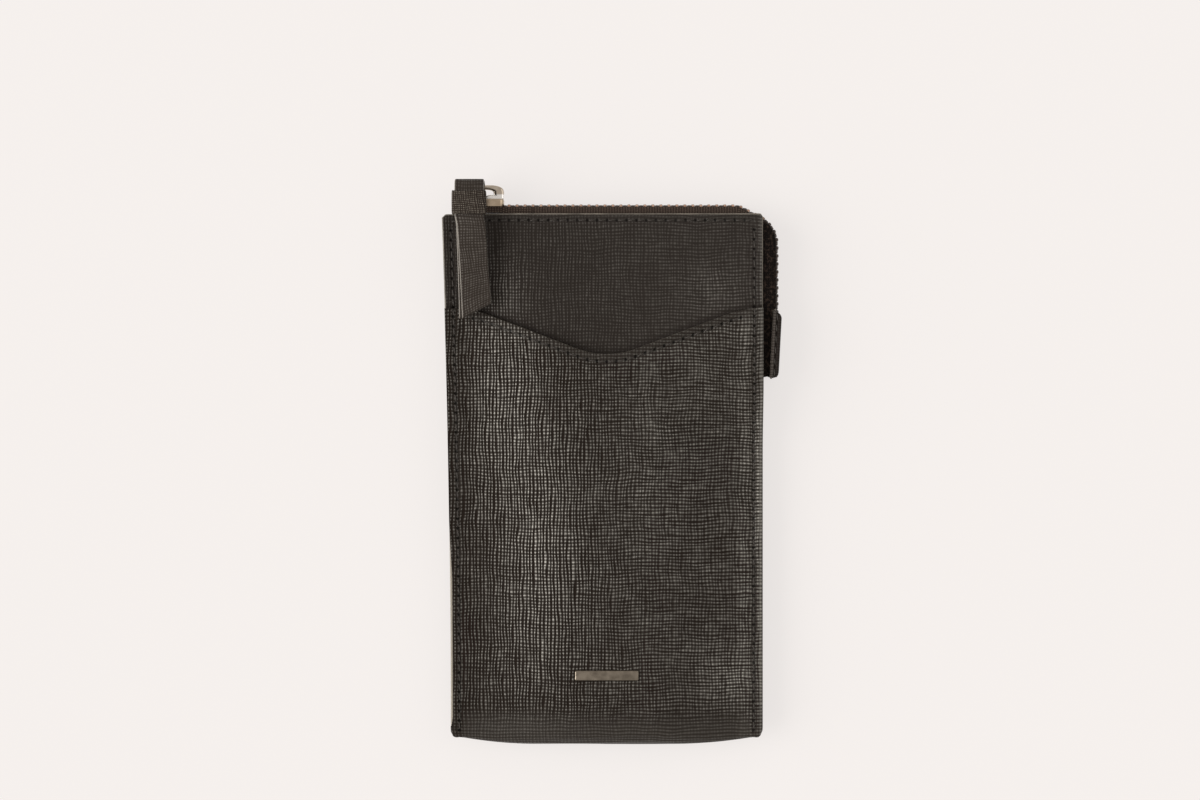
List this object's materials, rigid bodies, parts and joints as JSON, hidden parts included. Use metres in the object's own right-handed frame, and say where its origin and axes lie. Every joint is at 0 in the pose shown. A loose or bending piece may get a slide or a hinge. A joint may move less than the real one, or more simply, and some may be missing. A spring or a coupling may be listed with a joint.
{
  "type": "phone pouch",
  "caption": "Slim upright leather pouch for a phone, with a front slip pocket, a zip along the top and round one corner, and a looped leather pull.",
  "frame": {"origin": "middle of the flat back face that the pouch lies on", "axes": "+Z out of the front face, +Y towards the zip at the top, +X to the right as seen from the front"},
  "size_m": [0.1142, 0.1894, 0.0194],
  "materials": {
    "leather": "cross-grained, semi-matt black",
    "strap_leather": "smooth, semi-matt black with painted edges",
    "lining_cloth": "plain woven cloth",
    "zip_tape": "black woven tape",
    "zip_teeth": "black moulded",
    "zip_stops": "black lacquer",
    "nickel": "bright nickel plating",
    "badge_metal": "polished nickel plating",
    "thread": "waxed black thread"
  },
  "bodies": {
    "pouch": {"outer_wrap": "leather", "front_panel": "leather", "zipper_end_tab": "strap_leather", "lining_bag": "lining_cloth", "zipper_tape_front": "zip_tape", "zipper_tape_back": "zip_tape", "zipper_teeth_front": "zip_teeth", "zipper_teeth_back": "zip_teeth", "zipper_top_stop_front": "zip_stops", "zipper_top_stop_back": "zip_stops", "zipper_bottom_stop": "zip_stops", "badge_bar": "badge_metal", "badge_backplate": "badge_metal", "stitching_left": "thread", "stitching_right": "thread", "stitching_top": "thread", "stitching_pocket": "thread", "end_tab_stitching": "thread"},
    "slider": {"slider_body": "nickel", "slider_bridge": "nickel"},
    "pull": {"pull_strap": "strap_leather", "pull_keeper": "strap_leather"}
  },
  "joints": [
    {"name": "slider_travel", "type": "slide", "parent": "pouch", "child": "slider", "axis": [1, 0, 0], "range_m": [0, 0.078], "deforming": ["zipper_teeth_front", "zipper_teeth_back"]},
    {"name": "pull_swing", "type": "hinge", "parent": "slider", "child": "pull", "pos_m": [-0.0403, 0.0973, 0.00635], "axis": [-0.9986, -0.0523, 0], "range_deg": [0, 110]}
  ]
}
